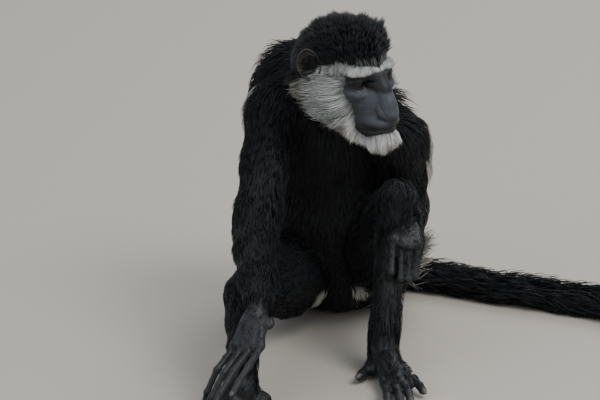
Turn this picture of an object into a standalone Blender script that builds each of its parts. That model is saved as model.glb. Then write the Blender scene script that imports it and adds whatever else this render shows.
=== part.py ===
"""A mantled guereza, the black-and-white colobus monkey, sitting on the floor at life size.

Metres, +Z up. The monkey faces -Y, so its own left side is at +X. The floor is Z = 0, and the
origin is on the floor under the middle of its seat. Every form is as large as the coat's tips.
"""

import math

import bmesh
import bpy
from mathutils import Matrix, Vector

# ---- driving dimensions -------------------------------------------------------------------
GAP = 0.0004  # parting gap between two nodes
FEMUR, TIBIA = 0.179, 0.163
HUMERUS, FOREARM = 0.134, 0.136
HAND_LENGTH, FOOT_LENGTH = 0.144, 0.160
HEAD_TURN, HEAD_NOD, HEAD_ROLL = 42.0, 5.0, 4.0  # degrees: to its left, down, left ear down
FACE_LENGTH = 0.084  # from the skull's middle forward to the nose tip
EYE_SPACING, EYE_RADIUS = 0.037, 0.0098
EAR_HEIGHT, EAR_WIDTH = 0.040, 0.027
TAIL_RADIUS, TUFT_RADIUS = 0.0175, 0.036


def aim(turn, rise):
    """The unit vector turned from straight ahead (-Y) towards +X, and raised, in degrees."""
    turn, rise = math.radians(turn), math.radians(rise)
    return Vector((math.sin(turn) * math.cos(rise), -math.cos(turn) * math.cos(rise), math.sin(rise)))


# ---- joints, from the bones' lengths and directions ---------------------------------------
SIDES = {"left": 1, "right": -1}
HIP = {"left": Vector((0.042, 0.006, 0.062)), "right": Vector((-0.042, 0.006, 0.056))}
THIGH_AIM = {"left": aim(9, 41.5), "right": aim(-20, 8)}
SHIN_AIM = {"left": aim(-15, -67), "right": aim(-1.5, -17)}
SHOULDER = {"left": Vector((0.070, -0.066, 0.216)), "right": Vector((-0.074, -0.050, 0.248))}
UPPER_ARM_AIM = {"left": aim(176, -49.5), "right": aim(-12, -48.5)}
FOREARM_AIM = {"left": aim(-1, 16.5), "right": aim(2, -16.5)}
FOOT_TURN = {"left": 13.0, "right": -56.0}
KNEE = {s: HIP[s] + FEMUR * THIGH_AIM[s] for s in SIDES}
ANKLE = {s: KNEE[s] + TIBIA * SHIN_AIM[s] for s in SIDES}
ELBOW = {s: SHOULDER[s] + HUMERUS * UPPER_ARM_AIM[s] for s in SIDES}
WRIST = {s: ELBOW[s] + FOREARM * FOREARM_AIM[s] for s in SIDES}
HEAD_CENTRE = Vector((0.008, -0.090, 0.321))

# ---- materials ----------------------------------------------------------------------------
BLACK_COAT = ("black_coat", (0.012, 0.013, 0.015), 0.55)
WHITE_COAT = ("white_coat", (0.62, 0.61, 0.57), 0.7)
GREY_SKIN = ("grey_skin", (0.07, 0.075, 0.085), 0.5)
EYE_BROWN = ("eye_brown", (0.03, 0.018, 0.01), 0.1)


def material(kind):
    name, colour, roughness = kind
    found = bpy.data.materials.get(name)
    if found is None:
        found = bpy.data.materials.new(name)
        found.use_nodes = True
        shader = found.node_tree.nodes["Principled BSDF"]
        shader.inputs["Base Color"].default_value = (*colour, 1)
        shader.inputs["Roughness"].default_value = roughness
        shader.inputs["Metallic"].default_value = 0
    return found


# ---- building blocks ----------------------------------------------------------------------
def clear_scene():
    for obj in list(bpy.data.objects):
        bpy.data.objects.remove(obj)


def new_object(name, mesh, kind=None):
    obj = bpy.data.objects.new(name, mesh)
    PARTS.objects.link(obj)
    if kind:
        mesh.materials.clear()
        mesh.materials.append(material(kind))
    return obj


def baked(obj):
    """The object's evaluated mesh, with its place applied; the object is removed."""
    bpy.context.view_layer.update()
    graph = bpy.context.evaluated_depsgraph_get()
    mesh = bpy.data.meshes.new_from_object(obj.evaluated_get(graph))
    mesh.transform(obj.matrix_world)
    bpy.data.objects.remove(obj)
    return mesh


def ball(centre, radii, turn=None):
    """An ellipsoid: its middle, its half sizes along X, Y and Z, and a rotation matrix."""
    work = bmesh.new()
    bmesh.ops.create_uvsphere(work, u_segments=32, v_segments=20, radius=1)
    place = Matrix.Translation(centre) @ (turn.to_4x4() if turn else Matrix.Identity(4))
    bmesh.ops.transform(work, matrix=place @ Matrix.Diagonal((*radii, 1)), verts=work.verts)
    mesh = bpy.data.meshes.new("ball")
    work.to_mesh(mesh)
    work.free()
    return mesh


def smooth_route(stations, steps):
    """Points on a Catmull-Rom curve through the stations, each (place, radius)."""
    rows = [(*place, radius) for place, radius in stations]
    rows = [Vector(r) for r in rows]
    ends = [2 * rows[0] - rows[1], *rows, 2 * rows[-1] - rows[-2]]
    route = []
    for a, b, c, d in zip(ends, ends[1:], ends[2:], ends[3:]):
        for i in range(steps):
            t = i / steps
            route.append(
                0.5 * (2 * b + (c - a) * t + (2 * a - 5 * b + 4 * c - d) * t**2 + (3 * b - a - 3 * c + d) * t**3)
            )
    route.append(rows[-1])
    return [(Vector(p[:3]), p[3]) for p in route]


def tube(route, resolution=3):
    """A closed tube through (place, radius) points."""
    curve = bpy.data.curves.new("tube", "CURVE")
    curve.dimensions = "3D"
    curve.bevel_depth = 1
    curve.bevel_resolution = resolution
    curve.use_fill_caps = True
    spline = curve.splines.new("POLY")
    spline.points.add(len(route) - 1)
    for point, (place, radius) in zip(spline.points, route):
        point.co = (*place, 1)
        point.radius = radius
    mesh = baked(new_object("tube", curve))
    work = bmesh.new()
    work.from_mesh(mesh)
    bmesh.ops.remove_doubles(work, verts=work.verts, dist=1e-6)
    bmesh.ops.recalc_face_normals(work, faces=work.faces)
    work.to_mesh(mesh)
    work.free()
    return mesh


def limb(stations, steps=6):
    """A tube with a ball at each station, so that its ends are round."""
    return [tube(smooth_route(stations, steps))] + [ball(p, (r, r, r)) for p, r in (stations[0], stations[-1])]


def joined(meshes):
    work = bmesh.new()
    for mesh in meshes:
        work.from_mesh(mesh)
    out = bpy.data.meshes.new("joined")
    work.to_mesh(out)
    work.free()
    return out


def triangle_count(mesh):
    return sum(len(p.vertices) - 2 for p in mesh.polygons)


def moulded(name, meshes, voxel, smoothing, triangles, kind):
    """One smooth closed skin over overlapping forms, thinned to a number of triangles."""
    obj = new_object(name, joined(meshes), kind)
    remesh = obj.modifiers.new("skin", "REMESH")
    remesh.mode = "VOXEL"
    remesh.voxel_size = voxel
    soften = obj.modifiers.new("soften", "SMOOTH")
    soften.factor = 0.5
    soften.iterations = smoothing
    mesh = baked(obj)
    obj = new_object(name, mesh, kind)
    thin = obj.modifiers.new("thin", "DECIMATE")
    thin.ratio = min(1, triangles / triangle_count(mesh))
    return new_object(name, baked(obj), kind)


def largest_piece(mesh):
    """Drops all but the largest loose piece of a mesh, and merges edges too short to matter."""
    work = bmesh.new()
    work.from_mesh(mesh)
    bmesh.ops.triangulate(work, faces=work.faces)
    left, best = set(work.verts), set()
    while left:
        group, edge = set(), {next(iter(left))}
        while edge:
            group |= edge
            edge = {e.other_vert(v) for v in edge for e in v.link_edges} - group
        left -= group
        if len(group) > len(best):
            best = group
    bmesh.ops.delete(work, geom=[v for v in work.verts if v not in best], context="VERTS")
    work.to_mesh(mesh)
    work.free()


def sound(mesh):
    """Whether a mesh is one closed body."""
    work = bmesh.new()
    work.from_mesh(mesh)
    closed = len(work.faces) > 3 and all(e.is_manifold and e.is_contiguous for e in work.edges)
    closed = closed and work.calc_volume(signed=True) > 0
    work.free()
    return closed


def bounds(obj):
    corners = [v.co for v in obj.data.vertices]
    return [min(c[i] for c in corners) for i in range(3)], [max(c[i] for c in corners) for i in range(3)]


def near(first, second):
    (low_a, high_a), (low_b, high_b) = bounds(first), bounds(second)
    return all(low_a[i] < high_b[i] + GAP and low_b[i] < high_a[i] + GAP for i in range(3))


def carve(target, cutters):
    """Cuts the cutters, grown by the parting gap, out of the target."""
    for cutter in cutters:
        if not near(target, cutter):
            continue
        size = triangle_count(target.data)
        kinds = list(target.data.materials)
        for more in (1.0, 1.2, 1.5, 1.8, 2.2):
            mesh = cut_once(target, cutter, GAP * more)
            if sound(mesh) and triangle_count(mesh) > size / 3:
                break
        target.data = mesh
        mesh.materials.clear()
        mesh.materials.append(kinds[0])


def cut_once(target, cutter, gap):
    grown = bpy.data.objects.new("cutter", cutter.data.copy())
    CUTTERS.objects.link(grown)
    swell = grown.modifiers.new("swell", "DISPLACE")
    swell.strength = gap
    swell.mid_level = 0
    cut = target.modifiers.new("cut", "BOOLEAN")
    cut.operation = "DIFFERENCE"
    cut.object = grown
    bpy.context.view_layer.update()
    graph = bpy.context.evaluated_depsgraph_get()
    mesh = bpy.data.meshes.new_from_object(target.evaluated_get(graph))
    largest_piece(mesh)
    target.modifiers.clear()
    bpy.data.objects.remove(grown)
    return mesh


def kept_side(mesh, point, normal):
    """A copy of a closed mesh, cut flat by a plane, without what lies beyond it."""
    work = bmesh.new()
    work.from_mesh(mesh)
    everything = [*work.verts, *work.edges, *work.faces]
    bmesh.ops.bisect_plane(work, geom=everything, plane_co=point, plane_no=normal, clear_outer=True, dist=1e-7)
    rim = [e for e in work.edges if e.is_boundary]
    if rim:
        bmesh.ops.triangle_fill(work, edges=rim, use_beauty=True, use_dissolve=False, normal=normal)
    bmesh.ops.recalc_face_normals(work, faces=work.faces)
    out = bpy.data.meshes.new("side")
    work.to_mesh(out)
    work.free()
    return out


def part(obj, names, planes):
    """Parts an object into named nodes by flat thin cuts, each plane's normal facing on along it."""
    kind = obj.data.materials[0]
    pieces = []
    for i, name in enumerate(names):
        mesh = obj.data.copy()
        if i < len(planes):
            point, normal = planes[i]
            mesh = kept_side(mesh, point - normal.normalized() * GAP / 2, normal)
        if i > 0:
            point, normal = planes[i - 1]
            mesh = kept_side(mesh, point + normal.normalized() * GAP / 2, -normal)
        largest_piece(mesh)
        mesh.materials.clear()
        mesh.materials.append(kind)
        pieces.append((name, mesh))
    bpy.data.objects.remove(obj)
    return [new_object(name, mesh) for name, mesh in pieces]


def stand_on_floor(obj):
    """Cuts what dips below the floor, so that a small flat is left there."""
    if bounds(obj)[0][2] < 0:
        mesh = kept_side(obj.data, Vector((0, 0, 0)), Vector((0, 0, -1)))
        for vertex in mesh.vertices:
            if abs(vertex.co.z) < 1e-5:
                vertex.co.z = 0
        mesh.materials.clear()
        mesh.materials.append(obj.data.materials[0])
        obj.data = mesh


def simplify(obj, angles):
    """Merges faces that are flat to within an angle, the first of the angles that leaves it sound."""
    for degrees in angles:
        mesh = obj.data.copy()
        work = bmesh.new()
        work.from_mesh(mesh)
        limit = math.radians(degrees)
        bmesh.ops.dissolve_limit(work, angle_limit=limit, verts=work.verts, edges=work.edges)
        bmesh.ops.triangulate(work, faces=work.faces)
        work.to_mesh(mesh)
        work.free()
        if sound(mesh):
            obj.data = mesh
            return


def bend_plane(joint, before, after):
    """The plane through a joint that halves the bend between the points on its two sides."""
    return joint, (after - joint).normalized() - (before - joint).normalized()


# ---- head ---------------------------------------------------------------------------------
def head_frame():
    """Columns: forward, to its left, up."""
    forward = aim(HEAD_TURN, -HEAD_NOD)
    left = Vector((math.cos(math.radians(HEAD_TURN)), math.sin(math.radians(HEAD_TURN)), 0))
    left = Matrix.Rotation(math.radians(HEAD_ROLL), 3, forward) @ left
    return Matrix((forward, left, forward.cross(left))).transposed()


def in_head(forward, left, up):
    return HEAD_CENTRE + head_frame() @ Vector((forward, left, up))


def head_ball(forward, left, up, radii, tilt=0.0):
    """An ellipsoid in the head's frame, tipped nose down by tilt degrees."""
    turn = head_frame() @ Matrix.Rotation(math.radians(tilt), 3, "Y")
    return ball(in_head(forward, left, up), radii, turn)


def make_head():
    nose = FACE_LENGTH
    forms = [
        head_ball(-0.006, 0, 0.004, (0.056, 0.046, 0.044)),  # skull with its short hair
        head_ball(-0.004, 0, 0.022, (0.052, 0.044, 0.032)),  # raised black cap
        head_ball(0.014, 0, 0.033, (0.033, 0.041, 0.026)),  # the cap's steep front
        head_ball(0.038, 0, 0.010, (0.018, 0.036, 0.010)),  # brow
        head_ball(nose - 0.045, 0, -0.028, (0.034, 0.026, 0.030)),  # muzzle
        head_ball(nose - 0.026, 0, -0.023, (0.013, 0.0095, 0.030), -24),  # nose
        head_ball(nose - 0.014, 0, -0.039, (0.012, 0.012, 0.010)),  # nose tip
        head_ball(nose - 0.027, 0, -0.046, (0.023, 0.021, 0.013)),  # lips
        head_ball(nose - 0.031, 0, -0.063, (0.026, 0.024, 0.017)),  # chin and its beard
        head_ball(0.020, 0, -0.050, (0.036, 0.034, 0.022)),  # jaw
        head_ball(-0.020, 0, -0.030, (0.040, 0.044, 0.030)),  # throat
    ]
    for side in SIDES.values():
        forms += [
            head_ball(0.034, side * 0.021, -0.013, (0.016, 0.014, 0.012)),  # cheekbone
            head_ball(0.006, side * 0.034, -0.024, (0.034, 0.026, 0.034)),  # cheek
            head_ball(-0.012, side * 0.050, -0.028, (0.030, 0.024, 0.036)),  # cheek ruff
            head_ball(-0.016, side * 0.052, -0.060, (0.020, 0.014, 0.022)),  # its hanging lower end
        ]
    head = moulded("head", forms, 0.0026, 5, 900, WHITE_COAT)
    eyes = []
    for name, side in SIDES.items():
        centre = in_head(0.0365, side * EYE_SPACING / 2, -0.001)
        work = bmesh.new()
        bmesh.ops.create_uvsphere(work, u_segments=9, v_segments=6, radius=EYE_RADIUS)
        bmesh.ops.transform(work, matrix=Matrix.Translation(centre), verts=work.verts)
        mesh = bpy.data.meshes.new("eye")
        work.to_mesh(mesh)
        work.free()
        eyes.append(new_object(f"eye_{name}", mesh, EYE_BROWN))
    ears = [make_ear(name, side) for name, side in SIDES.items()]
    carve(head, eyes)
    for ear in ears:
        carve(ear, [head])
    mouth, face_plane, muzzle_top = -0.0500, 0.040, -0.016
    across, forward, up = 0.060, 0.070, 0.080
    cuts = [
        ((face_plane, 0, muzzle_top - up / 2), (GAP, across, up)),
        ((face_plane + forward / 2, 0, muzzle_top), (forward, across, GAP)),
        ((face_plane + forward / 2, 0, mouth), (forward, across, GAP)),
    ]
    nodes = {}
    regions = {"muzzle": (mouth, muzzle_top), "jaw": (mouth - up, mouth)}
    for name, (low, high) in regions.items():
        nodes[name] = head_block(head, name, face_plane, low, high)
    rest = head_block(head, "head", face_plane, mouth - up, muzzle_top, keep=False)
    bpy.data.objects.remove(head)
    rest.name = "head"
    for obj in nodes.values():
        obj.data.materials[0] = material(GREY_SKIN if obj.name == "muzzle" else WHITE_COAT)
    return [rest, *nodes.values()], eyes, ears


def head_block(head, name, back, low, high, keep=True):
    """What lies inside, or outside, a box in the head's frame ahead of the face plane."""
    long, wide = 0.10, 0.14
    for nudge in (0, 0.00015, 0.0003, 0.00045, 0.0006):
        inset = GAP / 2 + nudge if keep else -GAP / 2 - nudge
        work = bmesh.new()
        bmesh.ops.create_cube(work, size=1)
        size = Vector((long, wide, high - low - 2 * inset))
        middle = Vector((back + inset + long / 2, 0, (low + high) / 2))
        place = Matrix.Translation(in_head(*middle)) @ head_frame().to_4x4() @ Matrix.Diagonal((*size, 1))
        bmesh.ops.transform(work, matrix=place, verts=work.verts)
        mesh = bpy.data.meshes.new("block")
        work.to_mesh(mesh)
        work.free()
        block = bpy.data.objects.new("block", mesh)
        CUTTERS.objects.link(block)
        piece = new_object(name, head.data.copy())
        cut = piece.modifiers.new("cut", "BOOLEAN")
        cut.operation = "INTERSECT" if keep else "DIFFERENCE"
        cut.object = block
        mesh = baked(piece)
        bpy.data.objects.remove(block)
        largest_piece(mesh)
        if sound(mesh):
            break
    mesh.materials.clear()
    mesh.materials.append(material(WHITE_COAT))
    return new_object(name, mesh)


def make_ear(name, side):
    """A rounded, shallow shell standing out from the side of the head."""
    lean = Matrix.Rotation(math.radians(side * -38), 3, "Z") @ Matrix.Rotation(math.radians(side * 12), 3, "X")
    turn = head_frame() @ lean
    middle = in_head(-0.013, side * 0.052, 0.008)
    shell = ball(middle, (EAR_WIDTH / 2, 0.0032, EAR_HEIGHT / 2), turn)
    root = ball(middle + turn @ Vector((0.009, -side * 0.004, -0.006)), (0.006, 0.007, 0.011), turn)
    ear = moulded(f"ear_{name}", [shell, root], 0.0012, 2, 120, GREY_SKIN)
    return ear


# ---- hands --------------------------------------------------------------------------------
HAND_AIM = {"left": aim(-3, -12), "right": aim(-15, -37)}
HAND_BACK = {"left": Vector((0.24, -0.25, 0.95)), "right": Vector((-0.10, -0.25, 1))}
KNUCKLES = 0.40  # of the hand's length, from the wrist to the knuckles
FINGER_SHARE = {"index": 0.88, "middle": 1.0, "ring": 0.98, "little": 0.84}
FINGER_OFFSET = {"index": 0.0142, "middle": 0.0047, "ring": -0.0047, "little": -0.0138}
FINGER_BENDS = {
    "left": {"index": (52, 66, 26), "middle": (58, 68, 28), "ring": (60, 78, 34), "little": (60, 82, 40)},
    "right": {"index": (-20, 2, 4), "middle": (-12, 8, 8), "ring": (-4, 18, 14), "little": (4, 26, 20)},
}
FINGER_SPLAY = {
    "left": {"index": 3, "middle": 1, "ring": -1, "little": -3},
    "right": {"index": -7, "middle": -15, "ring": -19, "little": -24},
}
PHALANGES = (0.44, 0.33, 0.23)


def hand_axes(side_name):
    """Columns: towards the thumb, along the hand, out of its back."""
    along = HAND_AIM[side_name]
    back = HAND_BACK[side_name]
    back = (back - along * back.dot(along)).normalized()
    thumbward = along.cross(back) * SIDES[side_name]
    return thumbward.normalized(), along, back


def digit_route(base, along, back, thumbward, splay, bends, lengths, radius):
    """The points of a jointed digit; it bends away from the back of the hand or foot."""
    steps = [(base, radius)]
    heading = along * math.cos(math.radians(splay)) + thumbward * math.sin(math.radians(splay))
    axis = heading.cross(back).normalized()
    place = base
    for i, (bend, length) in enumerate(zip(bends, lengths)):
        heading = Matrix.Rotation(math.radians(-bend), 3, axis) @ heading
        swell = radius * (1.0 - 0.07 * i)
        steps.append((place + heading * length * 0.5, swell * 0.90))
        place = place + heading * length
        if i < 2:
            steps.append((place, swell))
    steps.append((place - heading * radius * 0.2, radius * 0.80))
    steps.append((place + heading * radius * 0.6, radius * 0.45))
    return steps


def make_hand(name):
    thumbward, along, back = hand_axes(name)
    wrist = WRIST[name]
    reach = HAND_LENGTH * KNUCKLES
    frame = Matrix((thumbward, along, back)).transposed()

    def at(across, down, out):
        return wrist + thumbward * across + along * down + back * out

    forms = limb([(wrist - FOREARM_AIM[name] * 0.022, 0.0155), (wrist, 0.0145), (at(0, 0.016, 0.0), 0.0135)])
    forms += [
        ball(at(0.0, reach * 0.55, 0), (0.0180, reach * 0.58, 0.0100), frame),
        ball(at(0.0, reach * 0.88, 0), (0.0195, reach * 0.22, 0.0088), frame),
        ball(at(0.0175, reach * 0.36, -0.003), (0.0052, 0.0085, 0.005), frame),  # the thumb's stub
    ]
    fingers = []
    for finger, share in FINGER_SHARE.items():
        base = at(FINGER_OFFSET[finger], reach - 0.005, 0)
        total = HAND_LENGTH * (1 - KNUCKLES) * share + 0.005
        lengths = [total * p for p in PHALANGES]
        route = digit_route(
            base, along, back, thumbward, FINGER_SPLAY[name][finger], FINGER_BENDS[name][finger], lengths, 0.0046
        )
        fingers.append(new_object(f"finger_{finger}_{name}", tube(route, 1), GREY_SKIN))
        simplify(fingers[-1], (5, 3))
    for first, second in zip(fingers, fingers[1:]):
        carve(second, [first])
    palm = moulded(f"hand_{name}", forms, 0.0016, 3, 180, GREY_SKIN)
    point, normal = bend_plane(wrist, ELBOW[name], wrist + along)
    palm.data = kept_side(palm.data, point + normal.normalized() * GAP / 2, -normal)
    palm.data.materials.append(material(GREY_SKIN))
    carve(palm, fingers)
    return palm, fingers


# ---- feet ---------------------------------------------------------------------------------
# each toe's root across (inward +) and along the sole from under the ankle, its splay and length
TOES = {
    "second": (0.0130, 0.066, 10, 0.046),
    "third": (0.0040, 0.068, 5, 0.048),
    "fourth": (-0.0055, 0.062, 1, 0.043),
    "fifth": (-0.0150, 0.048, -13, 0.036),
}
GREAT_TOE = (0.0120, 0.004, 44, 0.031)
TOE_BENDS = (-14, 24, 14)
TOE_RADIUS = 0.0058


def make_foot(name):
    along = aim(FOOT_TURN[name], 0)
    up = Vector((0, 0, 1))
    inward = along.cross(up) * SIDES[name]
    ankle = ANKLE[name]
    floor_point = Vector((ankle.x, ankle.y, 0))
    frame = Matrix((inward, along, up)).transposed()

    def at(across, down, high):
        return floor_point + inward * across + along * down + up * high

    forms = limb([(ankle - SHIN_AIM[name] * 0.026, 0.0200), (ankle, 0.0195)])
    heel = (FOOT_LENGTH - 0.118) / 2
    forms += [
        ball(at(0, -heel, 0.0135), (0.0145, heel, 0.0150), frame),  # heel
        ball(at(-0.001, 0.012, 0.0200), (0.0175, 0.034, 0.0165), frame),
        ball(at(-0.004, 0.036, 0.0135), (0.0215, 0.034, 0.0140), frame),
        ball(at(-0.001, 0.060, 0.0095), (0.0205, 0.018, 0.0098), frame),  # ball of the foot
        ball(at(-0.014, 0.030, 0.0105), (0.0130, 0.034, 0.0110), frame),  # its fringed outer edge
        ball(at(0.013, 0.006, 0.0110), (0.0110, 0.015, 0.0110), frame),  # root of the great toe
    ]
    toes = []
    for toe, (across, reach, splay, length) in TOES.items():
        base = at(across, reach - 0.008, 0.0075)
        lengths = [(length + 0.008) * p for p in PHALANGES]
        route = digit_route(base, along, up, inward, splay, TOE_BENDS, lengths, TOE_RADIUS)
        toes.append(new_object(f"toe_{toe}_{name}", tube(lowered(route), 1), GREY_SKIN))
        simplify(toes[-1], (5, 3))
    across, reach, splay, length = GREAT_TOE
    lengths = [length * p for p in PHALANGES]
    route = digit_route(at(across, reach, 0.0095), along, up, inward, splay, (-4, 8, 6), lengths, TOE_RADIUS * 1.2)
    toes.append(new_object(f"toe_great_{name}", tube(lowered(route), 1), GREY_SKIN))
    for first, second in zip(toes, toes[1:]):
        carve(second, [first])
    foot = moulded(f"foot_{name}", forms, 0.0020, 3, 190, BLACK_COAT)
    point, normal = bend_plane(ankle, KNEE[name], ankle + along)
    foot.data = kept_side(foot.data, point + normal.normalized() * GAP / 2, -normal)
    foot.data.materials.append(material(BLACK_COAT))
    carve(foot, toes)
    return foot, toes


def lowered(route):
    """The same route, lowered or raised so that the digit just presses on the floor."""
    dip = 0.0004
    return [(Vector((p.x, p.y, max(p.z, r - dip))), r) for p, r in route]


# ---- arms and legs ------------------------------------------------------------------------
def make_arm(name):
    shoulder, elbow, wrist = SHOULDER[name], ELBOW[name], WRIST[name]
    deep = {"left": 0.93, "right": 1.0}[name]
    past = wrist + FOREARM_AIM[name] * 0.012
    forms = limb(
        [
            (shoulder + Vector((0, 0.010, 0.008)), 0.0330 * deep),
            (shoulder.lerp(elbow, 0.45), 0.0300 * deep),
            (shoulder.lerp(elbow, 0.85), 0.0290 * deep),
            (elbow, 0.0295 * deep),
        ]
    )
    forms += limb(
        [
            (elbow, 0.0295 * deep),
            (elbow.lerp(wrist, 0.35), 0.0280 * deep),
            (elbow.lerp(wrist, 0.75), 0.0245 * deep),
            (wrist, 0.0180),
            (past, 0.0160),
        ]
    )
    arm = moulded(f"arm_{name}", forms, 0.0045, 4, 230, BLACK_COAT)
    along = HAND_AIM[name]
    point, normal = bend_plane(wrist, elbow, wrist + along)
    arm.data = kept_side(arm.data, point - normal.normalized() * GAP / 2, normal)
    arm.data.materials.append(material(BLACK_COAT))
    return arm


def make_leg(name):
    hip, knee, ankle = HIP[name], KNEE[name], ANKLE[name]
    calf = Vector((0, 0.012, -0.006))
    forms = limb(
        [
            (hip, 0.050),
            (hip.lerp(knee, 0.40) + Vector((0, 0, -0.004)), 0.046),
            (hip.lerp(knee, 0.80), 0.032),
            (knee, 0.0250),
        ]
    )
    forms += limb(
        [
            (knee, 0.0250),
            (knee.lerp(ankle, 0.30) + calf, 0.0225),
            (knee.lerp(ankle, 0.65) + calf * 0.4, 0.0205),
            (ankle, 0.0205),
            (ankle + SHIN_AIM[name] * 0.010, 0.0200),
        ]
    )
    leg = moulded(f"leg_{name}", forms, 0.0050, 4, 260, BLACK_COAT)
    point, normal = bend_plane(ankle, knee, ankle + aim(FOOT_TURN[name], 0))
    leg.data = kept_side(leg.data, point - normal.normalized() * GAP / 2, normal)
    leg.data.materials.append(material(BLACK_COAT))
    return leg


# ---- trunk --------------------------------------------------------------------------------
def make_trunk():
    forms = [
        ball((0, 0.026, 0.060), (0.074, 0.068, 0.066)),  # pelvis on its seat
        ball((-0.002, 0.010, 0.130), (0.078, 0.074, 0.084)),  # belly
        ball((-0.008, 0.004, 0.205), (0.082, 0.068, 0.078)),  # chest
        ball((-0.021, 0.006, 0.257), (0.085, 0.062, 0.076)),  # shoulders and upper back
    ]
    for side in SIDES.values():
        forms.append(ball((side * 0.060 - 0.004, 0.034, 0.135), (0.036, 0.050, 0.120)))  # mantle's fringe
        forms.append(ball((side * 0.060, 0.046, 0.062), (0.031, 0.044, 0.060)))  # its skirt over the hip
    forms += limb([(Vector((-0.012, -0.006, 0.280)), 0.056), (Vector((0.002, -0.060, 0.305)), 0.048)])
    forms += limb([(Vector((0.010, -0.030, 0.270)), 0.040), (SHOULDER["left"] + Vector((0, 0.014, 0.004)), 0.031)])
    forms += limb([(Vector((-0.030, -0.024, 0.275)), 0.040), (SHOULDER["right"] + Vector((0, 0.012, 0)), 0.031)])
    trunk = moulded("trunk", forms, 0.0065, 6, 500, BLACK_COAT)
    return trunk


TRUNK_PLANES = [
    (Vector((0, 0.02, 0.098)), Vector((0, 0, 1))),
    (Vector((0, 0.01, 0.172)), Vector((0, -0.05, 1))),
    (Vector((-0.004, -0.026, 0.312)), Vector((0.20, -0.80, 0.62))),
]


# ---- tail ---------------------------------------------------------------------------------
def make_tail():
    r, tuft = TAIL_RADIUS, TUFT_RADIUS
    low = 0.0012  # how far the underside dips before the floor flattens it
    stations = [
        (Vector((0.000, 0.062, 0.048)), r * 1.25),
        (Vector((0.030, 0.100, r - low + 0.008)), r * 1.15),
        (Vector((0.092, 0.085, r - low)), r),
        (Vector((0.195, 0.037, r - low)), r),
        (Vector((0.300, -0.011, r - low)), r),
        (Vector((0.372, -0.056, r - low)), r),
        (Vector((0.415, -0.110, r * 1.15 - low)), r * 1.15),
        (Vector((0.432, -0.170, tuft * 0.85 - low)), tuft * 0.85),
        (Vector((0.434, -0.235, tuft - low)), tuft),
        (Vector((0.424, -0.290, tuft * 0.82 - low)), tuft * 0.82),
        (Vector((0.410, -0.330, tuft * 0.42 - low)), tuft * 0.42),
    ]
    tail = moulded("tail", limb(stations), 0.0050, 2, 400, BLACK_COAT)
    cuts = [2, 3, 4, 6]
    planes = [(stations[i][0], stations[i + 1][0] - stations[i - 1][0]) for i in cuts]
    return tail, planes


# ---- the whole ----------------------------------------------------------------------------
def main():
    (head, muzzle, jaw), eyes, ears = make_head()
    hands, fingers, feet, toes, arms, legs = {}, {}, {}, {}, {}, {}
    for name in SIDES:
        hands[name], fingers[name] = make_hand(name)
        feet[name], toes[name] = make_foot(name)
        arms[name] = make_arm(name)
        legs[name] = make_leg(name)
    trunk = make_trunk()
    tail, tail_planes = make_tail()

    skull = [head, muzzle, jaw]
    for name in SIDES:
        for obj in (arms[name], legs[name]):
            simplify(obj, (5, 3))
    simplify(trunk, (5, 3))
    simplify(tail, (5, 3))
    for name in SIDES:
        held = [hands[name], *fingers[name]]
        carve(arms[name], [*skull, *held])
        carve(legs[name], [arms[name], *held])
        carve(feet[name], held)
        for toe in toes[name]:
            carve(toe, held)
    for name, side in SIDES.items():
        leg = legs[name]
        kind = leg.data.materials[0]
        leg.data = kept_side(leg.data, Vector((side * GAP / 2, 0, 0)), Vector((-side, 0, 0)))
        leg.data.materials.append(kind)
    limbs = [*arms.values(), *legs.values()]
    carve(tail, limbs)
    carve(trunk, [*skull, *ears, *limbs, tail])

    part(trunk, ["pelvis", "abdomen", "chest", "neck"], TRUNK_PLANES)
    part(tail, ["tail_root", "tail_upper", "tail_middle", "tail_lower", "tail_tuft"], tail_planes)
    for name in SIDES:
        elbow = bend_plane(ELBOW[name], SHOULDER[name], WRIST[name])
        part(arms[name], [f"upper_arm_{name}", f"forearm_{name}"], [elbow])
        knee = bend_plane(KNEE[name], HIP[name], ANKLE[name])
        part(legs[name], [f"thigh_{name}", f"shin_{name}"], [knee])
    for obj in list(PARTS.objects):
        stand_on_floor(obj)
        simplify(obj, (0.7, 0.3))


clear_scene()
PARTS = bpy.data.collections.new("guereza")
CUTTERS = bpy.data.collections.new("cutters")
for collection in (PARTS, CUTTERS):
    bpy.context.scene.collection.children.link(collection)
main()
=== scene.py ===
import math

import bmesh
import bpy
import numpy as np
from mathutils import Matrix, Vector
from mathutils.bvhtree import BVHTree
from mathutils.kdtree import KDTree


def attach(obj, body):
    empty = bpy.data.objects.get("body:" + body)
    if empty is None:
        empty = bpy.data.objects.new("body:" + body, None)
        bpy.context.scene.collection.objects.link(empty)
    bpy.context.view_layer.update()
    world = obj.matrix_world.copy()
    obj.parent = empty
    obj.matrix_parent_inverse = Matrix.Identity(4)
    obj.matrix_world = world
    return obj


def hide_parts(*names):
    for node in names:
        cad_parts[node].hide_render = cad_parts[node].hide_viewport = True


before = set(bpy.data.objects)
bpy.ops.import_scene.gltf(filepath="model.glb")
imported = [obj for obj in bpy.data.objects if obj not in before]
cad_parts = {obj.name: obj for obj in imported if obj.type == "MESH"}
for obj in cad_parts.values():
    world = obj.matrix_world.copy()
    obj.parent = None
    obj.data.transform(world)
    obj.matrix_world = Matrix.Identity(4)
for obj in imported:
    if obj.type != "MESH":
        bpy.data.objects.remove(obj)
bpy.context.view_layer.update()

scene = bpy.context.scene
dice = np.random.default_rng(7)


def linear(hexColour):  # sRGB hex to linear rgba
    channels = [int(hexColour[i:i + 2], 16) / 255 for i in (1, 3, 5)]
    return [c / 12.92 if c <= 0.04045 else ((c + 0.055) / 1.055) ** 2.4 for c in channels] + [1.0]


def unit(v):
    return v / np.maximum(np.linalg.norm(v, axis=-1, keepdims=True), 1e-9)


def norm(rows):  # length of each row
    return np.linalg.norm(rows, axis=1)


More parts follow.
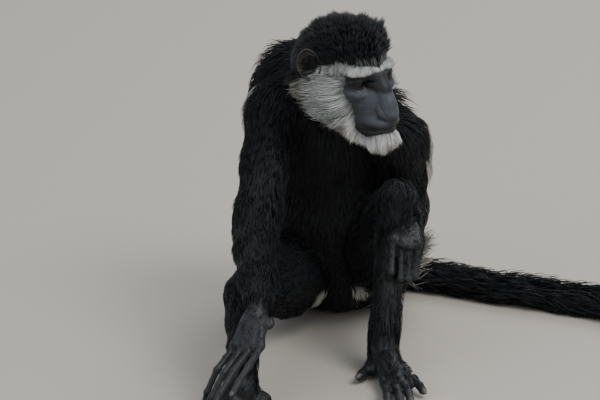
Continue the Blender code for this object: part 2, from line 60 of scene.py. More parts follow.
def ramp(low, high, x):  # smooth step from 0 to 1
    t = np.clip((x - low) / (high - low), 0, 1)
    return t * t * (3 - 2 * t)


def aim(turn, rise):  # turned from straight ahead (-Y) towards +X, raised, in degrees
    turn, rise = math.radians(turn), math.radians(rise)
    return np.array([math.sin(turn) * math.cos(rise), -math.cos(turn) * math.cos(rise), math.sin(rise)])


pose = {
    "femur": 0.179, "tibia": 0.163, "humerus": 0.134, "forearm": 0.136,
    "hand": 0.144, "foot": 0.160,
    "headTurn": 42, "headNod": 5, "headRoll": 4,
    "headCentre": (0.008, -0.090, 0.321),
}
sides = {"left": 1, "right": -1}
down = np.array([0.0, 0.0, -1.0])
hip = {"left": np.array([0.042, 0.006, 0.062]), "right": np.array([-0.042, 0.006, 0.056])}
shoulder = {"left": np.array([0.070, -0.066, 0.216]), "right": np.array([-0.074, -0.050, 0.248])}
thighAim = {"left": aim(9, 41.5), "right": aim(-20, 8)}
shinAim = {"left": aim(-15, -67), "right": aim(-1.5, -17)}
upperArmAim = {"left": aim(176, -49.5), "right": aim(-12, -48.5)}
forearmAim = {"left": aim(-1, 16.5), "right": aim(2, -16.5)}
footTurn = {"left": 13, "right": -56}
knee = {s: hip[s] + pose["femur"] * thighAim[s] for s in sides}
ankle = {s: knee[s] + pose["tibia"] * shinAim[s] for s in sides}
elbow = {s: shoulder[s] + pose["humerus"] * upperArmAim[s] for s in sides}
wrist = {s: elbow[s] + pose["forearm"] * forearmAim[s] for s in sides}
headCentre = np.array(pose["headCentre"])


def makeHeadAxes():  # columns: forward, to its left, up
    forward = aim(pose["headTurn"], -pose["headNod"])
    turn = math.radians(pose["headTurn"])
    left = Matrix.Rotation(math.radians(pose["headRoll"]), 3, Vector(forward)) @ Vector((math.cos(turn), math.sin(turn), 0))
    left = np.array(left)
    return np.stack([forward, left, np.cross(forward, left)], 1)


headAxes = makeHeadAxes()


def inHead(f, l, u):  # head millimetres to metres in the scene
    return headCentre + headAxes @ (np.array([f, l, u]) / 1000)


def toHead(points):  # scene metres to head millimetres
    return (points - headCentre) @ headAxes * 1000


# the flesh is a list of round forms, which blend into one skin
forms = []


def addForm(a, b, ra, rb, flow, zone):
    forms.append({"a": np.array(a, float), "b": np.array(b, float), "ra": ra, "rb": rb,
                  "flow": unit(np.array(flow, float)), "zone": zone})


def addBall(centre, radii, flow, zone, axes=None):
    forms.append({"c": np.array(centre, float), "r": np.array(radii, float), "axes": np.eye(3) if axes is None else axes,
                  "flow": unit(np.array(flow, float)), "zone": zone})


def addChain(stations, zone):
    for (a, ra), (b, rb) in zip(stations, stations[1:]):
        addForm(a, b, ra, rb, np.array(b) - np.array(a), zone)


def lerp(a, b, t):
    return a + (b - a) * t


# trunk
addBall((0, 0.026, 0.062), (0.062, 0.056, 0.0605), (0, 0.3, -1), "trunk")
addBall((-0.002, 0.006, 0.130), (0.066, 0.060, 0.078), (0, 0.05, -1), "trunk")
addBall((-0.008, 0.000, 0.205), (0.068, 0.056, 0.070), (0, 0.05, -1), "trunk")
addBall((-0.021, 0.004, 0.254), (0.072, 0.050, 0.064), (0, 0.15, -1), "trunk")
addForm((-0.012, -0.006, 0.278), (0.002, -0.062, 0.303), 0.046, 0.037, (-0.2, 0.5, -0.8), "neck")
addForm((0.010, -0.030, 0.266), shoulder["left"] + (0, 0.014, 0.002), 0.032, 0.024, (0.6, 0.1, -0.8), "trunk")
addForm((-0.030, -0.024, 0.270), shoulder["right"] + (0, 0.012, 0), 0.032, 0.024, (-0.6, 0.1, -0.8), "trunk")

# arms and legs
for name, side in sides.items():
    thick = {"left": 0.93, "right": 1.0}[name]
    s, e, w = shoulder[name], elbow[name], wrist[name]
    addChain([(s + (0, 0.010, 0.006), 0.0255 * thick), (lerp(s, e, 0.45), 0.0225 * thick),
              (lerp(s, e, 0.85), 0.0205 * thick), (e, 0.0195 * thick)], "arm" + name)
    addChain([(e, 0.0195 * thick), (lerp(e, w, 0.30), 0.0195 * thick), (lerp(e, w, 0.75), 0.0155 * thick), (w, 0.0118)],
             "arm" + name)
    h, k, a = hip[name], knee[name], ankle[name]
    addChain([(h, 0.043), (lerp(h, k, 0.4) - (0, 0, 0.003), 0.038), (lerp(h, k, 0.8), 0.0245), (k, 0.0185)], "leg" + name)
    calf = np.array([0, 0.012, -0.006])
    addChain([(k, 0.0185), (lerp(k, a, 0.30) + calf * 0.8, 0.0165), (lerp(k, a, 0.65) + calf * 0.4, 0.0145), (a, 0.0138)],
             "leg" + name)
    addBall(k + thighAim[name] * 0.004 + (0, -0.003, 0.002), (0.0145, 0.0145, 0.0145), shinAim[name], "leg" + name)

# hands: four fingers and the thumb's small stub
handAim = {"left": aim(-3, -12), "right": aim(-15, -37)}
handBack = {"left": np.array([0.24, -0.25, 0.95]), "right": np.array([-0.10, -0.25, 1.0])}
fingerBends = {
    "left": {"index": (52, 66, 26), "middle": (58, 68, 28), "ring": (60, 78, 34), "little": (60, 82, 40)},
    "right": {"index": (-20, 2, 4), "middle": (-12, 8, 8), "ring": (-4, 18, 14), "little": (4, 26, 20)},
}
fingerSplay = {
    "left": {"index": 3, "middle": 1, "ring": -1, "little": -3},
    "right": {"index": -7, "middle": -15, "ring": -19, "little": -24},
}
fingerRoll = {
    "left": {"index": (-14, 12, 0), "middle": (-14, 32, 0), "ring": (-12, 34, 0), "little": (-8, 26, 0)},
    "right": {"index": (0, 0, 0), "middle": (0, 0, 0), "ring": (0, 0, 0), "little": (0, 0, 0)},
}
fingerShare = {"index": 0.88, "middle": 1.0, "ring": 0.98, "little": 0.84}
fingerOffset = {"index": 0.0142, "middle": 0.0047, "ring": -0.0047, "little": -0.0138}
phalanges = (0.44, 0.33, 0.23)
nailSpots = []


def addDigit(base, along, back, thumbward, splay, bends, lengths, radius, zone, rolls=(0, 0, 0), floor=False):
    splay = math.radians(splay)
    heading = along * math.cos(splay) + thumbward * math.sin(splay)
    curl = -unit(back - heading * heading.dot(back))
    stations, place = [(base, radius)], base
    for i, (bend, roll, length) in enumerate(zip(bends, rolls, lengths)):
        sideways = np.cross(heading, curl)
        sideways *= 1 if sideways.dot(thumbward) > 0 else -1
        curl = curl * math.cos(math.radians(roll)) + sideways * math.sin(math.radians(roll))
        bend = math.radians(bend)
        heading, curl = heading * math.cos(bend) + curl * math.sin(bend), curl * math.cos(bend) - heading * math.sin(bend)
        swell = radius * (1 - 0.07 * i)
        stations.append((place + heading * length * 0.5, swell * 0.86))
        place = place + heading * length
        if i < 2:
            stations.append((place, swell))
    stations.append((place - heading * radius * 0.6, radius * 0.82))
    stations.append((place - heading * radius * 0.1, radius * 0.62))
    if floor:
        stations = [(np.array([p[0], p[1], max(p[2], r + 0.0006)]), r) for p, r in stations]
    addChain(stations, zone)
    nailSpots.append((stations[-1][0] - heading * radius * 0.35, heading, -curl, radius, zone))


for name, side in sides.items():
    along = handAim[name]
    back = unit(handBack[name] - along * handBack[name].dot(along))
    thumbward = np.cross(along, back) * side
    reach = pose["hand"] * 0.40
    axes = np.stack([thumbward, along, back], 1)
    zone = "hand" + name
    w = wrist[name]
    at = lambda across, on, out: w + thumbward * across + along * on + back * out
    addChain([(w - forearmAim[name] * 0.020, 0.0122), (w, 0.0112), (at(0, 0.016, 0), 0.0108)], zone)
    addBall(at(0, reach * 0.55, 0), (0.0162, reach * 0.56, 0.0085), along, zone, axes)
    addBall(at(0, reach * 0.86, 0), (0.0176, reach * 0.22, 0.0075), along, zone, axes)
    addBall(at(0.0165, reach * 0.36, -0.003), (0.0048, 0.0078, 0.0045), along, zone, axes)
    for finger, share in fingerShare.items():
        total = pose["hand"] * 0.60 * share + 0.005
        addDigit(at(fingerOffset[finger], reach - 0.005, 0), along, back, thumbward, fingerSplay[name][finger],
                 fingerBends[name][finger], [total * p for p in phalanges], 0.0037, zone, fingerRoll[name][finger])
        addForm(at(fingerOffset[finger] * 0.55, reach * 0.35, 0.0030), at(fingerOffset[finger], reach - 0.004, 0.0022),
                0.0042, 0.0050, along, zone)  # the tendon to each knuckle

# feet: across (inward +), along the sole, splay, length
toes = {
    "second": (0.0130, 0.066, 10, 0.046), "third": (0.0040, 0.068, 5, 0.048),
    "fourth": (-0.0055, 0.062, 1, 0.043), "fifth": (-0.0150, 0.048, -13, 0.036), "great": (0.0120, 0.004, 44, 0.031),
}
soleBalls = [  # across, along, up; radii
    ((-0.001, 0.012, 0.0190), (0.0145, 0.032, 0.0140)), ((-0.003, 0.036, 0.0128), (0.0180, 0.033, 0.0112)),
    ((-0.001, 0.060, 0.0092), (0.0185, 0.017, 0.0080)), ((-0.011, 0.030, 0.0100), (0.0115, 0.032, 0.0088)),
    ((0.0125, 0.006, 0.0105), (0.0095, 0.014, 0.0090)),
]
for name, side in sides.items():
    along = aim(footTurn[name], 0)
    up = np.array([0.0, 0.0, 1.0])
    inward = np.cross(along, up) * side
    ground = ankle[name] * (1, 1, 0)
    axes = np.stack([inward, along, up], 1)
    zone = "foot" + name
    at = lambda across, on, high: ground + inward * across + along * on + up * high
    heel = (pose["foot"] - 0.118) / 2
    addForm(ankle[name] - shinAim[name] * 0.02, ankle[name], 0.0140, 0.0140, shinAim[name], zone)
    addBall(at(0, -heel + 0.002, 0.0130), (0.0120, heel - 0.003, 0.0120), -along, zone, axes)
    addForm(ankle[name] - shinAim[name] * 0.012, at(0, -heel + 0.006, 0.0150), 0.0115, 0.0115, shinAim[name], zone)
    for spot, radii in soleBalls:
        addBall(at(*spot), radii, along, zone, axes)
    for toe, (across, reach, splay, length) in toes.items():
        great = toe == "great"
        extra = 0 if great else 0.008
        addDigit(at(across, reach - extra, 0.0085), along, up, inward, splay, (-4, 8, 6) if great else (-14, 24, 14),
                 [(length + extra) * p for p in phalanges], 0.0056 if great else 0.0046, zone, floor=True)
        if not great:
            addForm(at(across * 0.5, 0.022, 0.022), at(across, reach - 0.012, 0.0125), 0.0050, 0.0048, along, zone)

# tail, laid along the floor
tailStations = [  # place, radius of the flesh
    ((0.000, 0.062, 0.048), 0.0135), ((0.030, 0.100, 0.0260), 0.0115), ((0.092, 0.085, 0.0163), 0.0095),
    ((0.195, 0.037, 0.0163), 0.0090), ((0.300, -0.011, 0.0163), 0.0085), ((0.372, -0.056, 0.0163), 0.0082),
    ((0.415, -0.110, 0.0175), 0.0080), ((0.432, -0.170, 0.0260), 0.0078), ((0.434, -0.235, 0.0300), 0.0070),
    ((0.424, -0.290, 0.0250), 0.0055), ((0.410, -0.322, 0.0150), 0.0035),
]


def curveThrough(stations, steps):
    rows = np.array([[*p, r] for p, r in stations])
    rows = np.vstack([2 * rows[0] - rows[1], rows, 2 * rows[-1] - rows[-2]])
    out = []
    for a, b, c, d in zip(rows, rows[1:], rows[2:], rows[3:]):
        for i in range(steps):
            t = i / steps
            out.append(0.5 * (2 * b + (c - a) * t + (2 * a - 5 * b + 4 * c - d) * t ** 2 + (3 * b - a - 3 * c + d) * t ** 3))
    out.append(rows[-2])
    return [(row[:3], row[3]) for row in out]


tailRoute = curveThrough(tailStations, 4)
addChain(tailRoute[:30], "tail")
addChain(tailRoute[29:], "tailTuft")


# head, in head millimetres
def headBall(f, l, u, radii, flow):
    addBall(inHead(f, l, u), np.array(radii) / 1000, headAxes @ np.array(flow, float), "head", headAxes)


backward = (-1, 0, -0.1)
headBall(-6, 0, 2, (50, 38, 36), (-1, 0, 0.2))
headBall(38, 0, 7, (13, 33, 8), backward)
headBall(35, 0, -28, (30, 21.5, 27), backward)
noseRidge = [((49, 0, 3), 8.5), ((57, 0, -9), 8.0), ((65, 0, -24), 8.5), ((69.5, 0, -34.5), 8.6)]
for (a, ra), (b, rb) in zip(noseRidge, noseRidge[1:]):
    addForm(inHead(*a), inHead(*b), ra / 1000, rb / 1000, headAxes @ np.array([0, 0, -1.0]), "head")
headBall(52.5, 0, -44.5, (22.5, 19.5, 10), (0.3, 0, -1))
headBall(50, 0, -55.5, (20.5, 16.5, 8.5), (0.3, 0, -1))
headBall(46, 0, -61, (18, 14, 10), (0.3, 0, -1))
headBall(34, 0, -54, (27, 20.5, 13.5), (-0.3, 0, -1))
headBall(14, 0, -46, (30, 25, 17), (-0.6, 0, -1))
headBall(-18, 0, -26, (34, 33, 26), (-1, 0, -0.4))
for side in sides.values():
    headBall(63.5, side * 7.5, -33, (7.5, 4.8, 6.5), (0, 0, -1))
    headBall(34, side * 20, -13, (14, 13, 10.5), (-1, side * 0.3, -0.1))
    headBall(6, side * 23, -20, (28, 19, 27), (-1, side * 0.3, -0.2))
zones = sorted({form["zone"] for form in forms})
bodyZones = ("trunk", "armleft", "armright", "legleft", "legright")
tipZones = ("handleft", "handright", "footleft", "footright")
handSpots = np.array([wrist[s] + handAim[s] * 0.07 for s in sides]
                     + [ankle[s] * (1, 1, 0) + aim(footTurn[s], 0) * 0.04 + (0, 0, 0.01) for s in sides])


def inZones(zone, *names):
    return np.isin(zone, [zones.index(name) for name in names]).astype(float)


def blendWidth(points):  # how softly forms melt together, in metres
    width = np.full(len(points), 0.006)
    toFace = norm(points - inHead(30, 0, -15))
    width = lerp(0.0020, width, ramp(0.05, 0.10, toFace))
    for spot in handSpots:
        near = norm(points - spot)
        width = lerp(0.0008, width, ramp(0.075, 0.115, near))
    return width


def fleshField(points, wantFlow=False):  # distance to the skin, its slope, and the lie of the hair
    count = len(points)
    width = blendWidth(points)
    total, best = np.full(count, 1e-30), np.full(count, 1e9)
    slope, flow = np.zeros((count, 3)), np.zeros((count, 3))
    zone = np.zeros(count, int)
    for form in forms:
        if "c" in form:
            middle, bound = form["c"], form["r"].max()
        else:
            middle = (form["a"] + form["b"]) / 2
            bound = np.linalg.norm(form["b"] - form["a"]) / 2 + max(form["ra"], form["rb"])
        near = np.nonzero(((points - middle) ** 2).sum(1) < (bound + 0.060) ** 2)[0]
        if not len(near):
            continue
        p = points[near]
        if "c" in form:
            q = (p - middle) @ form["axes"] / form["r"]
            k0 = norm(q) + 1e-9
            k1 = norm(q / form["r"]) + 1e-9
            d = k0 * (k0 - 1) / k1
            g = unit((q / form["r"]) @ form["axes"].T)
        else:
            ab = form["b"] - form["a"]
            t = np.clip((p - form["a"]) @ ab / (ab @ ab), 0, 1)
            off = p - form["a"] - t[:, None] * ab
            far = norm(off) + 1e-9
            d = far - (form["ra"] + (form["rb"] - form["ra"]) * t)
            g = off / far[:, None]
        weight = np.exp(np.clip(-d / width[near], -60, 60))
        total[near] += weight
        slope[near] += g * weight[:, None]
        closer = d < best[near]
        best[near[closer]] = d[closer]
        zone[near[closer]] = zones.index(form["zone"])
        if wantFlow:
            flow[near] += form["flow"] * np.exp(np.clip(-d / 0.006, -60, 60))[:, None]
    d = np.where(total > 1e-25, -width * np.log(total), best)
    return d, unit(slope), unit(flow), zone


def written(work, name):  # ends a bmesh in a mesh, new or given
    mesh = bpy.data.meshes.new(name) if isinstance(name, str) else name
    work.to_mesh(mesh)
    work.free()
    return mesh


def meshFrom(name, points, faces):
    mesh = bpy.data.meshes.new(name)
    mesh.from_pydata([tuple(p) for p in points], [], faces)
    mesh.update()
    return mesh


def addObject(name, mesh):
    obj = bpy.data.objects.new(name, mesh)
    scene.collection.objects.link(obj)
    return obj


def dress(mesh, material):
    mesh.polygons.foreach_set("use_smooth", np.ones(len(mesh.polygons), bool))
    mesh.materials.append(material)
    return addObject(mesh.name, mesh)


def baked(obj):  # the object with its modifiers applied
    bpy.context.view_layer.update()
    mesh = bpy.data.meshes.new_from_object(obj.evaluated_get(bpy.context.evaluated_depsgraph_get()))
    bpy.data.objects.remove(obj)
    return mesh


def pointsOf(mesh):
    flat = np.empty(len(mesh.vertices) * 3)
    mesh.vertices.foreach_get("co", flat)
    return flat.reshape(-1, 3)


def setPoints(mesh, points):
    mesh.vertices.foreach_set("co", np.ascontiguousarray(points).ravel())
    mesh.update()


def normalsOf(mesh):
    flat = np.empty(len(mesh.vertices) * 3)
    mesh.vertex_normals.foreach_get("vector", flat)
    return flat.reshape(-1, 3)


skinLook = {"voxel": 0.0024, "faceFine": 2, "handFine": 1}  # cell in metres, and rounds of finer cells


def roughFlesh():  # all the forms as rough closed meshes, in one object
    work = bmesh.new()
    for form in forms:
        if "c" in form:
            place = Matrix.Translation(form["c"]) @ Matrix(form["axes"].tolist()).to_4x4() @ Matrix.Diagonal((*form["r"], 1))
            bmesh.ops.create_icosphere(work, subdivisions=4, radius=1, matrix=place)
            continue
        length = np.linalg.norm(form["b"] - form["a"])
        for t in np.linspace(0, 1, max(2, int(length / 0.0022))):
            place = Matrix.Translation(lerp(form["a"], form["b"], t))
            bmesh.ops.create_icosphere(work, subdivisions=2, radius=lerp(form["ra"], form["rb"], t), matrix=place)
    return written(work, "rough")


def makeSkin():
    obj = addObject("skin", roughFlesh())
    remesh = obj.modifiers.new("melt", "REMESH")
    remesh.mode = "VOXEL"
    remesh.voxel_size = skinLook["voxel"]
    mesh = baked(obj)
    settle(mesh, 2)
    for _ in range(skinLook["faceFine"]):
        refine(mesh, faceMask)
    for _ in range(skinLook["handFine"]):
        refine(mesh, handMask)
    settle(mesh, 2, lambda p: faceMask(p) | handMask(p))
    sculptFace(mesh)
    return mesh


def settle(mesh, rounds, mask=None):  # moves the surface onto the field of the forms
    points = pointsOf(mesh)
    which = np.arange(len(points)) if mask is None else np.nonzero(mask(points))[0]
    for _ in range(rounds):
        d, slope, _, _ = fleshField(points[which])
        points[which] -= np.clip(d, -0.004, 0.004)[:, None] * slope
    setPoints(mesh, points)


def faceMask(points):
    h = toHead(points)
    return (h[:, 0] > 26) & (np.abs(h[:, 1]) < 40) & (h[:, 2] > -66) & (h[:, 2] < 16)


def handMask(points):
    near = np.full(len(points), False)
    for spot in handSpots:
        near |= norm(points - spot) < 0.085
    return near


def refine(mesh, mask):
    inside = mask(pointsOf(mesh))
    work = bmesh.new()
    work.from_mesh(mesh)
    edges = [e for e in work.edges if inside[e.verts[0].index] and inside[e.verts[1].index]]
    bmesh.ops.subdivide_edges(work, edges=edges, cuts=1, use_grid_fill=True)
    written(work, mesh)


faceLook = {"eyeCentre": (35.5, 20.0, -2.5), "eyeRadius": 9.2, "eyeTurn": 16, "lid": 1.0}


def eyeAxes(side):  # columns: where it looks, sideways, up, in head millimetres
    turn = math.radians(faceLook["eyeTurn"]) * side
    return np.array([[math.cos(turn), -math.sin(turn), 0], [math.sin(turn), math.cos(turn), 0], [0, 0, 1]])


def groove(points, tree, route, width, depth):  # how deep a crease along a route over the surface cuts at each point
    route = np.array(route, float)
    dense = np.vstack([lerp(a, b, t) for a, b in zip(route, route[1:]) for t in np.linspace(0, 1, 7)])
    dense = np.array([list(tree.find_nearest(Vector(p))[0]) for p in dense])
    middle = dense.mean(0)
    near = np.nonzero(norm(points - middle) < norm(dense - middle).max() + 4 * width)[0]
    far = np.linalg.norm(points[near][:, None] - dense[None], axis=2)
    ends = np.sin(np.pi * np.clip(np.linspace(0, 1, len(dense)), 0.10, 0.90))
    out = np.zeros(len(points))
    out[near] = (np.exp(-(far / width) ** 2) * (0.3 + 0.7 * ends)).max(1) * depth
    return out


# routes on the monkey's left, in head millimetres, each with its width and depth
faceCreases = [
    ([(60, 9.5, -32), (63, 9, -37), (67, 6, -41)], 1.5, 4.2),  # nostril
    ([(58, 10.5, -24), (58, 13, -33), (62, 14, -42)], 1.3, 1.2),  # nose to lip
    ([(61, 8.5, -22), (67, 8.5, -29), (71, 7.5, -35)], 1.2, 0.9),  # upper edge of the wing of the nose
    ([(49, 14, -13), (43, 22, -14), (36, 29, -11)], 0.9, 0.9),  # under the eye
    ([(50, 13, -18), (43, 23, -20), (36, 30, -18)], 0.9, 0.6),
    ([(56, 14, -23), (47, 22, -26), (38, 27, -27)], 0.9, 0.5),  # cheek
    ([(57, 16, -29), (48, 22, -33), (40, 25, -35)], 0.9, 0.5),
    ([(58, 17, -36), (50, 21, -41), (42, 23, -44)], 0.9, 0.45),
    ([(50, 4, 2), (53, 5, -4)], 0.8, 0.6),  # between the brows
    ([(49, 15, -58), (43, 19, -62)], 0.9, 0.7),  # chin
    ([(74, 0, -44), (74, 4, -42)], 1.0, 0.4),
]
faceSwells = [
    ([(52, 6, 2.5), (46, 18, 3.5), (38, 28, 3)], 3.0, 1.6),  # brow
    ([(63, 9, -31), (66, 9.5, -37)], 2.2, 0.7),
    ([(73, 3, -52.5), (60, 14.5, -56.5), (47, 18.5, -60)], 1.6, 0.6),  # lower lip
    ([(60, 6, -10), (66, 7, -20)], 1.8, 0.5),
]


def sculptFace(mesh):
    points = pointsOf(mesh)
    which = np.nonzero(norm(points - inHead(45, 0, -25)) < 0.062)[0]
    h = toHead(points[which])
    normal = normalsOf(mesh)[which] @ headAxes
    tree = BVHTree.FromPolygons(toHead(points).tolist(), [tuple(face.vertices) for face in mesh.polygons])
    both = lambda route, *size: sum(groove(h, tree, [(f, s * l, u) for f, l, u in route], *size) for s in (1, -1))
    sink = np.minimum(both([(76, 0, -49), (71, 10, -50.5), (60, 16.5, -53), (46, 20, -56), (38, 20.5, -57.5)], 1.1, 2.4), 2.6)
    for route, width, depth in faceCreases:
        sink += both(route, width, depth)
    swell = sum(both(route, width, depth) for route, width, depth in faceSwells)
    h += normal * (swell - sink)[:, None]
    centre, radius = faceLook["eyeCentre"], faceLook["eyeRadius"]
    for side in sides.values():
        q = (h - np.array(centre) * (1, side, 1)) @ eyeAxes(side)
        far = norm(q)
        x, y = q[:, 1] / far * radius, q[:, 2] / far * radius
        across = x * side / 7.0  # 1 at the outer corner
        edge = np.where(y > 0, 3.5, 3.1) * np.sqrt(np.clip(1 - across ** 2, 0.02, 1)) * (1 + 0.12 * across * np.sign(y))
        out = np.where(np.abs(across) < 1, np.abs(y) / edge, 2 * np.abs(across) - 1 + np.abs(y) / 2)
        rho = np.where(np.abs(across) < 1, out, np.maximum(out, 1))
        front = (q[:, 0] > 0) & (far < 24)
        lidded = radius + faceLook["lid"] * (1 + 0.5 * (y > 0))
        wide = np.hypot(q[:, 1] / 12.0, q[:, 2] / 9.5)
        target = lerp(lidded, far, ramp(0.75, 1.35, wide))
        target = lerp(radius - 3.0, target, ramp(0.90, 1.06, rho))
        target -= np.exp(-((rho - 1.75) / 0.16) ** 2) * 0.55 * (np.abs(across) < 1.25)  # fold of the lid
        h[front] += (q / far[:, None] * (target - far)[:, None])[front] @ eyeAxes(side).T
    points[which] = headCentre + (h / 1000) @ headAxes.T
    setPoints(mesh, points)


def faceParts(points, inset=0.0):  # how bare, how white and how deep in painted shade under the brow each point of the head is, from 0 to 1
    h = toHead(points)
    f, l, u = h[:, 0], np.abs(h[:, 1]), h[:, 2]
    wobble = 0.9 * np.sin(u * 1.1 + 2 * np.sin(f * 0.35)) + 0.6 * np.sin(u * 2.7 + f * 1.3)
    rear = np.interp(u, [-64, -57, -34, -19, -12, 5, 12], [45, 38, 35, 36, 32, 29, 32]) - inset + 0.5 * wobble
    under = np.interp(f, [36, 42, 47, 60, 69, 80], [-59, -62, -63, -57.5, -54, -53]) - inset
    browEdge = np.interp(l, [0, 7, 18, 32], [8.6, 8.0, 4.6, 5.4]) + inset
    bare = ramp(-1.0, 1.0, f - rear) * ramp(-1.0, 1.0, u - under) * ramp(1.0, -1.0, u - browEdge)
    capEdge = np.interp(f, [-60, -41, -22, -8, 4, 12, 30, 60], [-26, -16, -10, -2, 11, 13.5, 14, 11.5])
    white = ramp(1.2, -1.2, u - capEdge) * ramp(-44, -38, f - 0.25 * (u + 20)) * ramp(-92, -86, u)
    # painted shade under the brow, over the bare face round the eyes
    browShade = ramp(-12, -8, u) * bare
    return bare, white * (1 - bare), browShade


veilLines = [
    [(0.050, 0.018, 0.282), (0.066, 0.022, 0.248), (0.068, 0.028, 0.210), (0.062, 0.036, 0.165),
     (0.058, 0.046, 0.125), (0.040, 0.066, 0.098), (0, 0.080, 0.088)],
    [(0.062, 0.036, 0.165), (0.064, 0.046, 0.115), (0.066, 0.048, 0.085)],
]
shoulderLines = [
    [(-0.060, -0.006, 0.290), (-0.086, -0.026, 0.268), (-0.099, -0.040, 0.244), (-0.103, -0.044, 0.216), (-0.104, -0.046, 0.196)],
    [(0.050, -0.018, 0.294), (0.070, -0.032, 0.268), (0.085, -0.042, 0.238), (0.096, -0.044, 0.210)],
]


def toLine(points, line):
    best = np.full(len(points), 1.0)
    for a, b in zip(np.array(line), np.array(line)[1:]):
        t = np.clip((points - a) @ (b - a) / ((b - a) @ (b - a)), 0, 1)
        best = np.minimum(best, norm(points - a - t[:, None] * (b - a)))
    return best


def veilWhite(points):  # the long white veil: from the shoulders down the flanks and across the lower back
    best = np.min([toLine(points, np.array(line) * (side, 1, 1)) for side in sides.values() for line in veilLines], 0)
    edge = np.min([toLine(points, line) for line in shoulderLines], 0)
    return np.maximum(ramp(0.024, 0.018, best) * ramp(-0.010, 0.000, points[:, 1]), ramp(0.011, 0.008, edge))


seatSpots = [(-0.020, -0.040), (0.021, -0.036)]


def seatWhite(points):  # white hair round the sitting pads
    best = np.min([norm(points[:, :2] - spot) for spot in seatSpots], 0)
    return ramp(0.013, 0.009, best) * (points[:, 2] < 0.044)


def markings(points, zone, underCoat=False):  # colour and bareness of the animal at each point
    colour = np.tile(np.array(linear("#0e1013")[:3]), (len(points), 1))
    bare, white, browShade = faceParts(points, 2.5 if underCoat else 0.0)
    onHead = inZones(zone, "head", "neck")
    h = toHead(points)
    mix = lambda tone, amount: lerp(colour, np.array(linear(tone)[:3]), np.clip(amount, 0, 1)[:, None])
    veil = inZones(zone, *bodyZones) * np.maximum(veilWhite(points), seatWhite(points))
    colour = mix("#77756f" if underCoat else "#c9c6bc", veil)
    pale = white * onHead
    colour = mix("#8b8a86" if underCoat else "#c6c7c3", pale)
    if not underCoat:  # the cheek is greyer beside the face, creamy below, and darker behind with painted shade away from the light
        cheek = pale * ramp(36, 26, h[:, 0]) * ramp(10, 2, h[:, 2])
        colour = mix("#e6e6e1", pale * ramp(16, 24, h[:, 0]) * ramp(-38, -46, h[:, 2]))
        colour = mix("#a4a6a3", cheek)
        # painted shade: the cheek hair darkens towards its back, away from the light
        colour = mix("#958f82", cheek * ramp(8, -20, h[:, 0]))
        colour = mix("#aaa496", pale * ramp(-36, -58, h[:, 2]) * ramp(38, 22, h[:, 0]))
    colour = mix("#3f434a", bare * onHead)
    colour = mix("#24262b", bare * onHead * ramp(12, 4, np.abs(h[:, 1])) * ramp(-32, -40, h[:, 2]))
    colour = mix("#1c1d20", bare * onHead * ramp(-45, -51, h[:, 2]))
    # painted shade under the brow: near-black over the bare face round the eyes
    colour = mix("#141517", browShade * onHead)
    if underCoat:
        colour = mix("#1e1f21", inZones(zone, *tipZones))
    colour = mix("#dedbd2", inZones(zone, "tailTuft"))
    return colour, bare * onHead, np.maximum(pale, veil)


def addColours(mesh, colours):
    layer = mesh.color_attributes.new("tone", "FLOAT_COLOR", "POINT")
    layer.data.foreach_set("color", np.column_stack([colours, np.ones(len(colours))]).astype(np.float32).ravel())


def newMaterial(name, rough=0.5, specular=0.5):
    material = bpy.data.materials.new(name)
    material.use_nodes = True
    shader = material.node_tree.nodes["Principled BSDF"]
    shader.inputs["Roughness"].default_value = rough
    shader.inputs["Specular IOR Level"].default_value = specular
    return material, shader


def node(material, kind, inputs=None, links=None, **settings):  # one node, its settings, and what feeds it
    made = material.node_tree.nodes.new("ShaderNode" + kind)
    for key, value in settings.items():
        setattr(made, key, value)
    for key, value in (inputs or {}).items():
        made.inputs[key].default_value = value
    for key, socket in (links or {}).items():
        material.node_tree.links.new(socket, made.inputs[key])
    return made


def link(material, socket, target):
    material.node_tree.links.new(socket, target)


def skinMaterial():  # bare leathery skin, and the dark skin under the coat
    material, shader = newMaterial("leathery skin", 0.52, 0.45)
    tone = node(material, "VertexColor", layer_name="tone")
    place = node(material, "TexCoord")
    grain = node(material, "TexNoise", {"Scale": 900, "Detail": 4}, {"Vector": place.outputs["Object"]})
    cells = node(material, "TexVoronoi", {"Scale": 750}, {"Vector": place.outputs["Object"]}, feature="DISTANCE_TO_EDGE")
    patch = node(material, "TexNoise", {"Scale": 90, "Detail": 3}, {"Vector": place.outputs["Object"]})
    shade = node(material, "MapRange", {"To Min": 0.72, "To Max": 1.25}, {"Value": patch.outputs["Fac"]})
    mixed = node(material, "VectorMath", links={0: tone.outputs["Color"], 1: shade.outputs["Result"]}, operation="MULTIPLY")
    link(material, mixed.outputs["Vector"], shader.inputs["Base Color"])
    fine = node(material, "Bump", {"Strength": 0.35, "Distance": 0.0004}, {"Height": cells.outputs["Distance"]})
    bump = node(material, "Bump", {"Strength": 0.5, "Distance": 0.0005},
                {"Height": grain.outputs["Fac"], "Normal": fine.outputs["Normal"]})
    link(material, bump.outputs["Normal"], shader.inputs["Normal"])
    return material


def hairMaterial(name, rough, specular, sheen):  # locks of hair, coloured by the markings
    material, shader = newMaterial(name, rough, specular)
    tone = node(material, "VertexColor", layer_name="tone")
    link(material, tone.outputs["Color"], shader.inputs["Base Color"])
    shader.inputs["Sheen Weight"].default_value = sheen
    shader.inputs["Sheen Roughness"].default_value = 0.4
    return material
